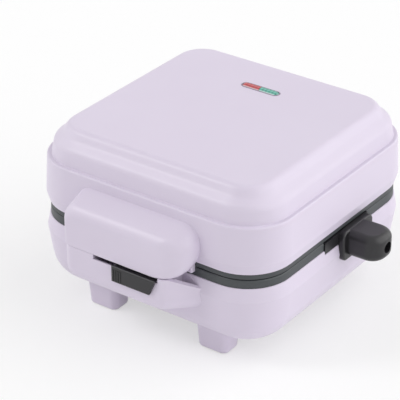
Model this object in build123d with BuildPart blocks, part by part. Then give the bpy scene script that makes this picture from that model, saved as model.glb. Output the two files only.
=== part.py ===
"""Stuffed waffle maker: square clamshell cooker with a hinged lid, a front handle and a sliding latch.

Millimetres, +Z up. The casing is modelled about its own middle, with the feet standing on Z = 0.
Front is -Y, the hinge is at the back (+Y) and the cord outlet is on the right (+X).
"""

import math
import os

from build123d import *

# Casing outline, and heights above the worktop
casing_width = 200.0
casing_depth = 198.0
corner_radius = 35.0
underside_z = 17.5
base_rim_z = 68.1
parting_z = 74.6
lid_rim_z = 79.3
ledge_z = 115.5
shoulder_z = 134.5
top_z = 138.7
casing_wall = 2.8

# Slopes and radii of the two mouldings
base_draft = 2.5
base_bottom_radius = 13.0
flare_reach = 2.1
flare_height = 7.4
lid_draft = 3.0
ledge_radius = 1.4
ledge_inset = 2.4
shoulder_draft = 5.0
shoulder_radius = 7.5
plateau_foot = 13.2
plateau_draft = 27.0
plateau_radius = 1.8

# Clearances
seat_gap = 0.3
parting_gap = 0.3
slide_gap = 0.4
pin_clearance = 0.06
screw_clearance = 0.05

# Feet
foot_length = 32.0
foot_width = 25.0
foot_radius = 7.0
foot_draft = 4.0
foot_x = 48.6
foot_y = 74.8
pad_depth = 1.6
pad_proud = 1.0
pad_margin = 4.5

# Dark rings between the halves
ring_inset = 0.7
ring_width = 14.0
ring_edge_radius = 1.3
shelf_width = 5.4
lip_thickness = 2.4
locating_lip = 3.0

# Cooking plates
plate_gap = 0.7
plate_flange = 3.2
well_inset = 23.0
well_corner_radius = 40.0
well_wall = 3.4
well_depth = 23.0
well_draft = 12.0
well_floor = 4.6
well_radius = 4.0
stud_pitch = 22.0
stud_count = 6
stud_size = 15.0
stud_height = 11.0
stud_draft = 18.0
drip_margin = 3.4
drip_width = 3.0
drip_depth = 1.2
plate_screw_x = 71.0
plate_screw_y = 70.0
leg_offset = 28.0
leg_radius = 4.5
leg_length = 10.0

# Heating elements, heat shields and controls
element_radius = 3.2
element_half_width = 46.0
element_bend = 16.0
element_tail_y = 12.0
element_tail_bend = 8.0
element_tail_x = 63.0
element_pin_radius = 1.2
element_pin_length = 8.0
shield_thickness = 0.8
shield_inset = 8.0
shield_corner_radius = 26.0
shield_wall_height = 7.5
shield_draft = 8.0
shield_notch = 36.0
thermostat_radius = 8.0
thermostat_height = 5.6
thermostat_tab_width = 5.0
thermostat_tab_reach = 13.0
fuse_radius = 2.3
fuse_length = 16.0
fuse_y = 20.0
block_length = 24.0
block_width = 11.0
block_height = 10.0
block_x = 77.0
block_ways = 3
block_screw_radius = 2.0
block_screw_depth = 2.5

# Screws and posts
screw_radius = 1.75
screw_head_radius = 3.6
screw_head_height = 2.0
screw_head_sink = 0.2
screw_grip = 12.0
shield_screw_grip = 6.0
cross_length = 3.6
cross_width = 0.9
cross_depth = 1.0
post_radius = 4.6

# Lid handle
handle_reach = 22.0
handle_start = 0.8
handle_wall_width = 107.0
handle_front_width = 103.0
handle_bottom_z = 70.9
handle_wall_top_z = 108.5
handle_front_top_z = 100.0
handle_top_radius = 22.0
handle_left_radius = 3.0
handle_right_radius = 18.0
handle_front_radius = 9.0
handle_skin = 3.0
handle_hollow_left_x = -43.0
handle_hollow_right_x = 34.0
handle_hollow_height = 21.0
skirt_width = 91.0
skirt_height = 16.0
skirt_thickness = 2.2
skirt_bottom_z = 71.5
skirt_radius = 3.5

# Latch box on the base front
box_left_x = -52.0
box_front_right_x = 34.0
box_wall_right_x = 62.0
box_bottom_z = 50.0
box_left_radius = 9.0
box_right_radius = 10.0
box_bottom_radius = 6.0
box_skin = 2.8
box_hollow_left_x = -45.0
box_hollow_right_x = 26.0
handle_joint = 0.5

# Sliding latch, its retainer and the keeper that hangs in the handle
slot_left_x = -25.0
slot_right_x = 30.5
slot_bottom_z = 67.2
latch_travel = 17.0
latch_thickness = 1.8
latch_plate_width = 12.6
latch_end = 3.0
latch_neck_left_x = -5.6
latch_right_x = 28.4
thumb_left_x = -7.6
thumb_top_right_x = 30.0
thumb_bottom_right_x = 24.5
thumb_bottom_z = 56.8
thumb_thickness = 2.1
thumb_edge_radius = 0.8
thumb_rib_count = 4
thumb_rib_pitch = 2.0
thumb_rib_radius = 0.5
keeper_x = -7.0
keeper_y = -111.0
keeper_length = 9.0
keeper_thickness = 2.0
keeper_foot_width = 6.4
keeper_foot_height = 2.2
keeper_foot_z = 64.5
keeper_clearance = 0.9
slit_clearance = 0.7
retainer_thickness = 0.8
retainer_left_x = -40.7
retainer_right_x = 35.0
retainer_front_margin = 5.6
retainer_width = 13.6
retainer_screw_inset = 3.6
latch_screw_radius = 1.1
latch_screw_head_radius = 2.2
latch_screw_head_height = 0.9
latch_screw_grip = 4.5

# Hinge
hinge_reach = 8.0
knuckle_radius = 6.5
knuckle_root_radius = 1.2
hinge_pin_radius = 2.0
base_knuckle_x = 42.0
base_knuckle_width = 13.0
lid_knuckle_width = 15.0
knuckle_cap = 2.0
base_root_low_z = 48.0
base_root_high_z = 60.0
lid_root_low_z = 84.0
lid_root_high_z = 96.0

# Cord outlet on the right side
outlet_y = 14.5
outlet_z = 65.3
outlet_end_x = 130.5
outlet_width = 27.0
outlet_height = 20.0
outlet_plan_radius = 12.0
outlet_edge_radius = 5.5
outlet_bore_radius = 4.3
flange_near_x = 100.3
flange_thickness = 5.0
flange_width = 38.5
flange_height = 23.5
flange_y = 16.2
flange_z = 63.8
flange_radius = 5.0
flange_edge_radius = 1.5
saddle_front_y = -20.0
saddle_back_y = 36.0
saddle_bottom_z = 65.6
saddle_inner_x = 94.5

# Indicator window in the lid
window_y = 46.0
window_length = 33.0
window_width = 8.0
bezel_wall = 0.9
bezel_proud = 0.3
bezel_flange = 1.2
lens_proud = 1.2
lens_facet = 1.6
lens_depth = 4.0
lamp_radius = 2.5
lamp_length = 10.0
lamp_x = 8.0
holder_length = 31.0
holder_width = 10.0
holder_height = 7.0
holder_floor = 1.0

half_width = casing_width / 2
half_depth = casing_depth / 2
hinge_y = half_depth + hinge_reach
handle_front_y = -half_depth - handle_reach
box_top_z = handle_bottom_z - handle_joint
parting_plane = Plane.XY.offset(parting_z)

# Heights in the lower half, which the upper half mirrors about the parting plane
plate_face_z = parting_z - plate_gap
flange_under_z = plate_face_z - plate_flange
well_floor_z = plate_face_z - well_depth
well_under_z = well_floor_z - well_floor
leg_end_z = well_under_z - leg_length
shield_under_z = leg_end_z - shield_thickness
element_z = well_under_z - element_radius - seat_gap / 2
base_floor_z = underside_z + casing_wall

# Heights in the lid
lid_ceiling_z = shoulder_z - casing_wall
window_seat_z = top_z - casing_wall
upper_flange_z = 2 * parting_z - flange_under_z

# Places of the latch, its track and its retainer
track_front_y = handle_front_y + box_skin
latch_front_y = track_front_y + slide_gap
latch_back_y = latch_front_y + latch_plate_width
track_back_y = latch_back_y + slide_gap
latch_under_z = slot_bottom_z + seat_gap
latch_top_z = latch_under_z + latch_thickness
keeper_room_x = keeper_length / 2 + keeper_clearance
keeper_room_y = keeper_foot_width / 2 + keeper_clearance
latch_left_x = keeper_x - keeper_room_x - latch_end
slit_right_x = keeper_x + keeper_room_x + latch_travel
track_left_x = latch_left_x - latch_travel - slide_gap
track_right_x = latch_right_x + slide_gap
thumb_back_y = handle_front_y - seat_gap
thumb_front_y = thumb_back_y - thumb_thickness
retainer_under_z = box_top_z - retainer_thickness
retainer_front_y = keeper_y - retainer_front_margin
retainer_back_y = retainer_front_y + retainer_width
retainer_mid_y = (retainer_front_y + retainer_back_y) / 2
latch_screw_places = [
    (retainer_left_x + retainer_screw_inset, retainer_mid_y),
    (retainer_right_x - retainer_screw_inset, retainer_mid_y),
]

# Places in the handle, the hinge, the lid and the window
flare_draft = math.degrees(math.atan(flare_reach / flare_height))
hollow_front_y = handle_front_y + handle_skin
hollow_back_y = -half_depth - handle_start - skirt_thickness - seat_gap
hollow_top_z = handle_bottom_z + handle_hollow_height
lid_knuckle_x = base_knuckle_x - (base_knuckle_width + lid_knuckle_width) / 2 - slide_gap
pin_inner_x = lid_knuckle_x - lid_knuckle_width / 2
pin_outer_x = base_knuckle_x + base_knuckle_width / 2 - knuckle_cap - seat_gap
thermostat_z = 2 * parting_z - well_under_z + seat_gap / 2
bezel_under_z = top_z - lens_depth
lens_length = window_length - 2 * bezel_wall - seat_gap
lens_width = window_width - 2 * bezel_wall - seat_gap
holder_top_z = bezel_under_z - seat_gap
lamp_z = holder_top_z - holder_height + holder_floor + seat_gap + lamp_radius


def outline(inset):
    """Rounded-square outline of the casing, drawn a distance inside the rim line."""
    return RectangleRounded(casing_width - 2 * inset, casing_depth - 2 * inset, corner_radius - inset)


def well_outline(inset, mode=Mode.ADD):
    """Rounded-square outline of the cooking well, drawn inside its outer wall."""
    return RectangleRounded(
        casing_width - 2 * (well_inset + inset),
        casing_depth - 2 * (well_inset + inset),
        well_corner_radius - inset,
        mode=mode,
    )


def corners(x, y):
    """Four places mirrored about both middle planes."""
    return Locations((-x, -y), (x, -y), (x, y), (-x, y))


def knuckle_profile(root_low, root_high):
    """Hinge eye joined to two points of the casing's back wall."""
    with Locations((hinge_y, parting_z)):
        Circle(knuckle_radius)
    with Locations(root_low, root_high):
        Circle(knuckle_root_radius)
    make_hull()


def tapered_block(inset, start_z, end_z, draft, edge_radius):
    """Casing outline extruded between two heights with a draft, its far edge rounded."""
    with BuildPart() as block:
        with BuildSketch(Plane.XY.offset(start_z)):
            outline(inset)
        extrude(amount=end_z - start_z, taper=draft)
        far_face = block.faces().sort_by(Axis.Z)[-1 if end_z > start_z else 0]
        fillet(far_face.edges(), edge_radius)
    return block.part


def cut_box(low, high):
    """Takes the box between two corners out of the part being built."""
    with Locations(tuple((a + b) / 2 for a, b in zip(low, high))):
        Box(*[b - a for a, b in zip(low, high)], mode=Mode.SUBTRACT)


# Base moulding: a bowl with a soft bottom edge
base_outside = tapered_block(0, base_rim_z, underside_z, base_draft, base_bottom_radius)
base_inside = tapered_block(
    casing_wall, base_rim_z, base_floor_z, base_draft, base_bottom_radius - casing_wall
)
with BuildPart() as latch_box:
    with BuildSketch(Plane.XY.offset(box_bottom_z)) as box_plan:
        with BuildLine():
            Polyline(
                (box_left_x, -half_depth + casing_wall),
                (box_left_x, handle_front_y),
                (box_front_right_x, handle_front_y),
                (box_wall_right_x, -half_depth + casing_wall),
                close=True,
            )
        make_face()
        fillet(box_plan.vertices().group_by(Axis.Y)[0].sort_by(Axis.X)[0], box_left_radius)
        fillet(box_plan.vertices().group_by(Axis.Y)[0].sort_by(Axis.X)[-1], box_right_radius)
    extrude(amount=box_top_z - box_bottom_z)
    under_edges = latch_box.faces().sort_by(Axis.Z)[0].edges()
    fillet(under_edges.sort_by(Axis.Y)[:-1], box_bottom_radius)

with BuildPart() as base_shell:
    add(base_outside)
    add(latch_box.part)

    # Four moulded feet
    with BuildSketch(Plane.XY.offset(underside_z + casing_wall / 2)):
        with corners(foot_x, foot_y):
            RectangleRounded(foot_length, foot_width, foot_radius)
    extrude(amount=pad_proud - underside_z - casing_wall / 2, taper=foot_draft)

    # Hinge eyes on the back wall
    for side in (-1, 1):
        with BuildSketch(Plane.YZ.offset(side * base_knuckle_x)):
            knuckle_profile((half_depth - 1.0, base_root_low_z), (half_depth - 0.8, base_root_high_z))
        extrude(amount=base_knuckle_width / 2, both=True)

    add(base_inside, mode=Mode.SUBTRACT)
    cut_box(
        (box_left_x - box_skin, -half_depth, base_rim_z),
        (box_wall_right_x + box_skin, -half_depth + 2 * casing_wall, box_top_z + 1),
    )

    # Pockets for the rubber pads
    with BuildSketch(Plane.XY.offset(pad_proud)):
        with corners(foot_x, foot_y):
            RectangleRounded(
                foot_length - 2 * pad_margin, foot_width - 2 * pad_margin, foot_radius - pad_margin / 2
            )
    extrude(amount=pad_depth, mode=Mode.SUBTRACT)

    # Posts that carry the lower plate at its corners
    with BuildSketch(Plane.XY.offset(base_floor_z - casing_wall / 2)):
        with corners(plate_screw_x, plate_screw_y):
            Circle(post_radius)
    extrude(amount=flange_under_z - base_floor_z + casing_wall / 2)
    with BuildSketch(Plane.XY.offset(flange_under_z)):
        with corners(plate_screw_x, plate_screw_y):
            Circle(screw_radius + screw_clearance)
    extrude(amount=-screw_grip, mode=Mode.SUBTRACT)

    # Hollow of the latch box, open to the inside of the bowl under a flat deck
    cut_box(
        (box_hollow_left_x, handle_front_y + box_skin, box_bottom_z + box_skin + 1.5),
        (box_hollow_right_x, -half_depth + 2 * casing_wall, slot_bottom_z - box_skin),
    )

    # Track for the latch, the wider seat for its retainer, and the slot in the front wall
    cut_box((track_left_x, track_front_y, slot_bottom_z), (track_right_x, track_back_y, box_top_z))
    cut_box(
        (retainer_left_x - seat_gap, retainer_front_y - seat_gap, retainer_under_z),
        (retainer_right_x + seat_gap, retainer_back_y + seat_gap, box_top_z),
    )
    cut_box(
        (slot_left_x, handle_front_y - 1, slot_bottom_z),
        (slot_right_x, track_front_y + 1, box_top_z),
    )

    # Hole in the deck that the keeper drops through
    cut_box(
        (keeper_x - keeper_room_x, keeper_y - keeper_room_y, keeper_foot_z - keeper_clearance),
        (keeper_x + keeper_room_x, keeper_y + keeper_room_y, slot_bottom_z),
    )
    with BuildSketch(Plane.XY.offset(retainer_under_z)):
        with Locations(*latch_screw_places):
            Circle(latch_screw_radius + screw_clearance)
    extrude(amount=-latch_screw_grip, mode=Mode.SUBTRACT)

    # Blind hinge pin holes, entered from the middle
    for side in (-1, 1):
        with BuildSketch(Plane.YZ.offset(side * (base_knuckle_x - base_knuckle_width / 2))):
            with Locations((hinge_y, parting_z)):
                Circle(hinge_pin_radius + pin_clearance)
        extrude(amount=side * (base_knuckle_width - knuckle_cap), mode=Mode.SUBTRACT)

    # Notch in the rim for the cord outlet
    cut_box(
        (saddle_inner_x - 1, saddle_front_y - seat_gap, saddle_bottom_z - seat_gap),
        (half_width + 1, saddle_back_y + seat_gap, base_rim_z + 1),
    )
    with BuildSketch(Plane.YZ.offset(saddle_inner_x)):
        with Locations((outlet_y, outlet_z)):
            Circle(outlet_bore_radius + seat_gap)
    extrude(amount=half_width + 1 - saddle_inner_x, mode=Mode.SUBTRACT)

# Rubber pads under the feet
with BuildPart() as foot_pads:
    with BuildSketch():
        with corners(foot_x, foot_y):
            RectangleRounded(
                foot_length - 2 * pad_margin - seat_gap,
                foot_width - 2 * pad_margin - seat_gap,
                foot_radius - pad_margin / 2 - seat_gap / 2,
            )
    extrude(amount=pad_proud + pad_depth)
    chamfer(foot_pads.edges().group_by(Axis.Z)[0], pad_proud / 2)

# Lower dark ring: outer band, inner shelf under the plate, and a lip inside the bowl's rim
with BuildPart() as base_ring:
    add(tapered_block(ring_inset, base_rim_z, parting_z - parting_gap / 2, 0, ring_edge_radius))
    with BuildSketch(Plane.XY.offset(base_rim_z)):
        outline(casing_wall + seat_gap)
    extrude(amount=-locating_lip)
    with BuildSketch(Plane.XY.offset(base_rim_z - locating_lip)):
        outline(casing_wall + seat_gap + lip_thickness)
    extrude(amount=locating_lip, mode=Mode.SUBTRACT)
    with BuildSketch(Plane.XY.offset(flange_under_z)):
        outline(ring_inset + ring_width)
    extrude(amount=parting_z - flange_under_z, mode=Mode.SUBTRACT)
    with BuildSketch(Plane.XY.offset(base_rim_z - locating_lip)):
        outline(ring_inset + ring_width + shelf_width)
    extrude(amount=parting_z, mode=Mode.SUBTRACT)
    cut_box(
        (saddle_inner_x - seat_gap, saddle_front_y - seat_gap, base_rim_z - locating_lip - 1),
        (half_width + 1, saddle_back_y + seat_gap, parting_z),
    )

# Upper dark ring, which takes the lid's rim
with BuildPart() as lid_ring:
    add(tapered_block(ring_inset, lid_rim_z, parting_z + parting_gap / 2, 0, ring_edge_radius))
    with BuildSketch(Plane.XY.offset(lid_rim_z)):
        outline(casing_wall + seat_gap)
    extrude(amount=locating_lip)
    with BuildSketch(Plane.XY.offset(upper_flange_z + lip_thickness)):
        outline(casing_wall + seat_gap + lip_thickness)
    extrude(amount=parting_z, mode=Mode.SUBTRACT)
    with BuildSketch(Plane.XY.offset(upper_flange_z)):
        outline(ring_inset + ring_width)
    extrude(amount=-parting_z / 2, mode=Mode.SUBTRACT)
    with BuildSketch(Plane.XY.offset(parting_z)):
        outline(ring_inset + ring_width + shelf_width)
    extrude(amount=parting_z, mode=Mode.SUBTRACT)

# Lower cooking plate: flange with a drip channel, deep tapered well and rows of studs
stud_start = -(stud_count - 1) / 2 * stud_pitch
stud_places = [
    (stud_start + column * stud_pitch, stud_start + row * stud_pitch)
    for column in range(stud_count)
    for row in range(stud_count)
    if not (column in (0, stud_count - 1) and row in (0, stud_count - 1))
]
with BuildPart() as well_body:
    with BuildSketch(Plane.XY.offset(flange_under_z)):
        well_outline(0)
    extrude(amount=well_under_z - flange_under_z, taper=well_draft)
    fillet(well_body.faces().sort_by(Axis.Z)[0].edges(), well_radius + well_wall / 2)
with BuildPart() as well_space:
    with BuildSketch(Plane.XY.offset(plate_face_z)):
        well_outline(well_wall)
    extrude(amount=-well_depth, taper=well_draft)
    fillet(well_space.faces().sort_by(Axis.Z)[0].edges(), well_radius)
with BuildPart() as lower_waffle_plate:
    with BuildSketch(Plane.XY.offset(flange_under_z)):
        outline(ring_inset + ring_width + seat_gap)
    extrude(amount=plate_flange)
    add(well_body.part)
    add(well_space.part, mode=Mode.SUBTRACT)
    with BuildSketch(Plane.XY.offset(well_floor_z)):
        with Locations(*stud_places):
            Rectangle(stud_size, stud_size)
    extrude(amount=stud_height, taper=stud_draft)
    with BuildSketch(Plane.XY.offset(plate_face_z)):
        well_outline(well_wall - drip_margin - drip_width)
        well_outline(well_wall - drip_margin, mode=Mode.SUBTRACT)
    extrude(amount=-drip_depth, mode=Mode.SUBTRACT)
    with BuildSketch(Plane.XY.offset(well_under_z + well_floor / 2)):
        with corners(leg_offset, leg_offset):
            Circle(leg_radius)
    extrude(amount=leg_end_z - well_under_z - well_floor / 2)
    with BuildSketch(Plane.XY.offset(leg_end_z)):
        with corners(leg_offset, leg_offset):
            Circle(screw_radius + screw_clearance)
    extrude(amount=shield_screw_grip, mode=Mode.SUBTRACT)
    with BuildSketch(Plane.XY.offset(plate_face_z)):
        with corners(plate_screw_x, plate_screw_y):
            Circle(screw_head_radius + seat_gap)
    extrude(amount=-screw_head_height - screw_head_sink, mode=Mode.SUBTRACT)
    with BuildSketch(Plane.XY.offset(plate_face_z)):
        with corners(plate_screw_x, plate_screw_y):
            Circle(screw_radius + screw_clearance)
    extrude(amount=-plate_flange, mode=Mode.SUBTRACT)

# Lower heating element: sheathed loop with two tails and their terminal pins
with BuildPart() as lower_heating_element:
    with BuildLine(Plane.XY.offset(element_z)) as element_path:
        FilletPolyline(
            (element_tail_x, -element_tail_y),
            (element_half_width, -element_tail_y),
            (element_half_width, -element_half_width),
            (-element_half_width, -element_half_width),
            (-element_half_width, element_half_width),
            (element_half_width, element_half_width),
            (element_half_width, element_tail_y),
            (element_tail_x, element_tail_y),
            radius=[
                element_tail_bend,
                element_bend,
                element_bend,
                element_bend,
                element_bend,
                element_tail_bend,
            ],
        )
    with BuildSketch(Plane(element_path.line @ 0, z_dir=element_path.line % 0)):
        Circle(element_radius)
    sweep()
    with BuildSketch(Plane.YZ.offset(element_tail_x)):
        with Locations((-element_tail_y, element_z), (element_tail_y, element_z)):
            Circle(element_pin_radius)
    extrude(amount=element_pin_length)

# Lower heat shield: thin tray hung on the plate's legs, notched for the element's tails
with BuildPart() as lower_heat_shield:
    with BuildSketch(Plane.XY.offset(shield_under_z)):
        RectangleRounded(
            casing_width - 2 * well_inset - 2 * shield_inset,
            casing_depth - 2 * well_inset - 2 * shield_inset,
            shield_corner_radius,
        )
    extrude(amount=shield_wall_height, taper=-shield_draft)
    with BuildSketch(Plane.XY.offset(shield_under_z + shield_thickness)):
        RectangleRounded(
            casing_width - 2 * well_inset - 2 * shield_inset - 2 * shield_thickness,
            casing_depth - 2 * well_inset - 2 * shield_inset - 2 * shield_thickness,
            shield_corner_radius - shield_thickness,
        )
    extrude(amount=shield_wall_height, taper=-shield_draft, mode=Mode.SUBTRACT)
    cut_box(
        (element_half_width, -shield_notch / 2, shield_under_z + shield_thickness + seat_gap),
        (half_width, shield_notch / 2, well_under_z),
    )
    with BuildSketch(Plane.XY.offset(shield_under_z)):
        with corners(leg_offset, leg_offset):
            Circle(screw_radius + screw_clearance)
    extrude(amount=shield_thickness, mode=Mode.SUBTRACT)

# Crosshead screws through the corners of the lower plate
with BuildPart() as lower_plate_screws:
    with BuildSketch(Plane.XY.offset(plate_face_z - screw_head_sink)):
        with corners(plate_screw_x, plate_screw_y):
            Circle(screw_head_radius)
    extrude(amount=-screw_head_height)
    with BuildSketch(Plane.XY.offset(plate_face_z - screw_head_sink)):
        with corners(plate_screw_x, plate_screw_y):
            Circle(screw_radius)
    extrude(amount=-screw_grip)
    with BuildSketch(Plane.XY.offset(plate_face_z - screw_head_sink)):
        with corners(plate_screw_x, plate_screw_y):
            Rectangle(cross_length, cross_width)
            Rectangle(cross_width, cross_length)
    extrude(amount=-cross_depth, mode=Mode.SUBTRACT)

# Short screws that hold the lower heat shield to the plate's legs
with BuildPart() as lower_shield_screws:
    with BuildSketch(Plane.XY.offset(shield_under_z)):
        with corners(leg_offset, leg_offset):
            Circle(screw_head_radius)
    extrude(amount=-screw_head_height)
    with BuildSketch(Plane.XY.offset(shield_under_z)):
        with corners(leg_offset, leg_offset):
            Circle(screw_radius)
    extrude(amount=shield_screw_grip)
    with BuildSketch(Plane.XY.offset(shield_under_z - screw_head_height)):
        with corners(leg_offset, leg_offset):
            Rectangle(cross_length, cross_width)
            Rectangle(cross_width, cross_length)
    extrude(amount=cross_depth, mode=Mode.SUBTRACT)

# Thermal fuse in its sleeve, against the underside of the lower plate
with BuildPart() as thermal_fuse:
    with BuildSketch(Plane.YZ):
        with Locations((fuse_y, well_under_z - fuse_radius - seat_gap / 2)):
            Circle(fuse_radius)
    extrude(amount=fuse_length / 2, both=True)
    chamfer(thermal_fuse.edges().filter_by(GeomType.CIRCLE), fuse_radius / 4)

# Terminal block on the bowl's floor, where the mains lead joins the inner wires
with BuildPart() as terminal_block:
    with BuildSketch(Plane.XY.offset(base_floor_z)):
        with Locations((block_x, outlet_y)):
            RectangleRounded(block_width, block_length, 1.5)
    extrude(amount=block_height)
    with BuildSketch(Plane.XY.offset(base_floor_z + block_height)):
        with Locations((block_x, outlet_y)):
            with GridLocations(0, block_length / block_ways, 1, block_ways):
                Circle(block_screw_radius)
    extrude(amount=-block_screw_depth, mode=Mode.SUBTRACT)
    with BuildSketch(Plane.YZ.offset(block_x - block_width / 2)):
        with Locations((outlet_y, base_floor_z + block_height / 3)):
            with GridLocations(block_length / block_ways, 0, block_ways, 1):
                Circle(block_screw_radius / 2)
    extrude(amount=block_width, mode=Mode.SUBTRACT)

# Cord outlet: saddle in the rim's notch, flange against the wall, rounded nose and its bore
with BuildPart() as outlet_nose:
    with BuildSketch(Plane.XY.offset(outlet_z - outlet_height / 2)) as nose_plan:
        with Locations(((flange_near_x + outlet_end_x) / 2, outlet_y)):
            Rectangle(outlet_end_x - flange_near_x, outlet_width)
        fillet(nose_plan.vertices().group_by(Axis.X)[-1], outlet_plan_radius)
    extrude(amount=outlet_height)
    nose_ends = outlet_nose.faces().sort_by(Axis.Z)
    nose_edges = nose_ends[0].edges().sort_by(Axis.X)[1:] + nose_ends[-1].edges().sort_by(Axis.X)[1:]
    fillet(nose_edges, outlet_edge_radius)
with BuildPart() as outlet_flange:
    with BuildSketch(Plane.YZ.offset(flange_near_x)):
        with Locations((flange_y, flange_z)):
            RectangleRounded(flange_width, flange_height, flange_radius)
    extrude(amount=flange_thickness)
    fillet(outlet_flange.faces().sort_by(Axis.X)[-1].edges(), flange_edge_radius)
with BuildPart() as cord_outlet:
    add(outlet_nose.part)
    add(outlet_flange.part)
    with Locations(
        (
            (saddle_inner_x + flange_near_x) / 2,
            (saddle_front_y + saddle_back_y) / 2,
            (saddle_bottom_z + parting_z - seat_gap) / 2,
        )
    ):
        Box(
            flange_near_x - saddle_inner_x,
            saddle_back_y - saddle_front_y,
            parting_z - seat_gap - saddle_bottom_z,
        )
    with BuildSketch(Plane.YZ.offset(saddle_inner_x)):
        with Locations((outlet_y, outlet_z)):
            Circle(outlet_bore_radius)
    extrude(amount=outlet_end_x - saddle_inner_x, mode=Mode.SUBTRACT)

# Hinge pins, one on each side
with BuildPart() as hinge_pins:
    for side in (-1, 1):
        with BuildSketch(Plane.YZ.offset(side * pin_inner_x)):
            with Locations((hinge_y, parting_z)):
                Circle(hinge_pin_radius)
        extrude(amount=side * (pin_outer_x - pin_inner_x))
    chamfer(hinge_pins.edges().filter_by(GeomType.CIRCLE), hinge_pin_radius / 5)

# Sliding latch: keyhole plate on the deck, neck through the slot, thumb piece over the box front
with BuildPart() as thumb_piece:
    with BuildSketch(Plane.XZ.offset(-thumb_back_y)):
        with BuildLine():
            Polyline(
                (thumb_left_x, thumb_bottom_z),
                (thumb_bottom_right_x, thumb_bottom_z),
                (thumb_top_right_x, latch_top_z),
                (thumb_left_x, latch_top_z),
                close=True,
            )
        make_face()
    extrude(amount=thumb_thickness)
    fillet(thumb_piece.faces().sort_by(Axis.Y)[0].edges(), thumb_edge_radius)
with BuildPart() as latch_slider:
    with BuildSketch(Plane.XY.offset(latch_under_z)) as latch_plan:
        with Locations(((latch_left_x + latch_right_x) / 2, (latch_front_y + latch_back_y) / 2)):
            Rectangle(latch_right_x - latch_left_x, latch_plate_width)
        fillet(latch_plan.vertices().group_by(Axis.Y)[-1], latch_end / 2)
        with Locations(((latch_neck_left_x + latch_right_x) / 2, latch_front_y)):
            Rectangle(
                latch_right_x - latch_neck_left_x,
                latch_front_y - thumb_back_y + thumb_thickness / 2,
                align=(Align.CENTER, Align.MAX),
            )
        with Locations((keeper_x, keeper_y)):
            Rectangle(2 * keeper_room_x, 2 * keeper_room_y, mode=Mode.SUBTRACT)
            Rectangle(
                slit_right_x - keeper_x,
                keeper_thickness + 2 * slit_clearance,
                align=(Align.MIN, Align.CENTER),
                mode=Mode.SUBTRACT,
            )
    extrude(amount=latch_thickness)
    add(thumb_piece.part)
    rib_height = latch_under_z - thumb_bottom_z - 2 * thumb_edge_radius
    for rib in range(thumb_rib_count):
        with Locations(
            (
                thumb_left_x + (rib + 1) * thumb_rib_pitch,
                thumb_front_y,
                (latch_under_z + thumb_bottom_z) / 2,
            )
        ):
            Cylinder(thumb_rib_radius, rib_height)

# Steel retainer over the latch, and its two screws
with BuildPart() as latch_retainer:
    with BuildSketch(Plane.XY.offset(retainer_under_z)):
        with Locations(((retainer_left_x + retainer_right_x) / 2, retainer_mid_y)):
            RectangleRounded(retainer_right_x - retainer_left_x, retainer_width, 1.0)
        with Locations((keeper_x, keeper_y)):
            Rectangle(2 * keeper_room_x, 2 * keeper_room_y, mode=Mode.SUBTRACT)
        with Locations(*latch_screw_places):
            Circle(latch_screw_radius + screw_clearance, mode=Mode.SUBTRACT)
    extrude(amount=retainer_thickness)

with BuildPart() as latch_screws:
    with BuildSketch(Plane.XY.offset(box_top_z)):
        with Locations(*latch_screw_places):
            Circle(latch_screw_head_radius)
    extrude(amount=latch_screw_head_height)
    with BuildSketch(Plane.XY.offset(box_top_z)):
        with Locations(*latch_screw_places):
            Circle(latch_screw_radius)
    extrude(amount=-latch_screw_grip)

# Handle: soft block with a rounded front, square at its bottom left and full round at its right


def handle_section(y, inset):
    """Front view of the handle at one depth, with its top and sides drawn in by the inset."""
    share = (-half_depth - y) / handle_reach
    half = (handle_wall_width + (handle_front_width - handle_wall_width) * share) / 2 - inset
    high_z = handle_wall_top_z + (handle_front_top_z - handle_wall_top_z) * share - inset
    with BuildSketch(Plane.XZ.offset(-y)) as section:
        with BuildLine():
            Polyline(
                (-half, handle_bottom_z),
                (half, handle_bottom_z),
                (half, high_z),
                (-half, high_z),
                close=True,
            )
        make_face()
        fillet(section.vertices().group_by(Axis.Y)[-1], handle_top_radius - inset)
        low_corners = section.vertices().group_by(Axis.Y)[0].sort_by(Axis.X)
        fillet(low_corners[0], handle_left_radius)
        fillet(low_corners[-1], handle_right_radius - inset)
    return section.sketch


round_start_y = handle_front_y + handle_front_radius
with BuildPart() as handle_root:
    add(handle_section(-half_depth - handle_start, 0))
    add(handle_section(round_start_y, 0))
    loft(ruled=True)
with BuildPart() as handle_nose:
    for angle in (0, 22, 44, 66, 82):
        depth = handle_front_radius * math.sin(math.radians(angle))
        inset = handle_front_radius * (1 - math.cos(math.radians(angle)))
        add(handle_section(round_start_y - depth, inset))
    loft()

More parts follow.
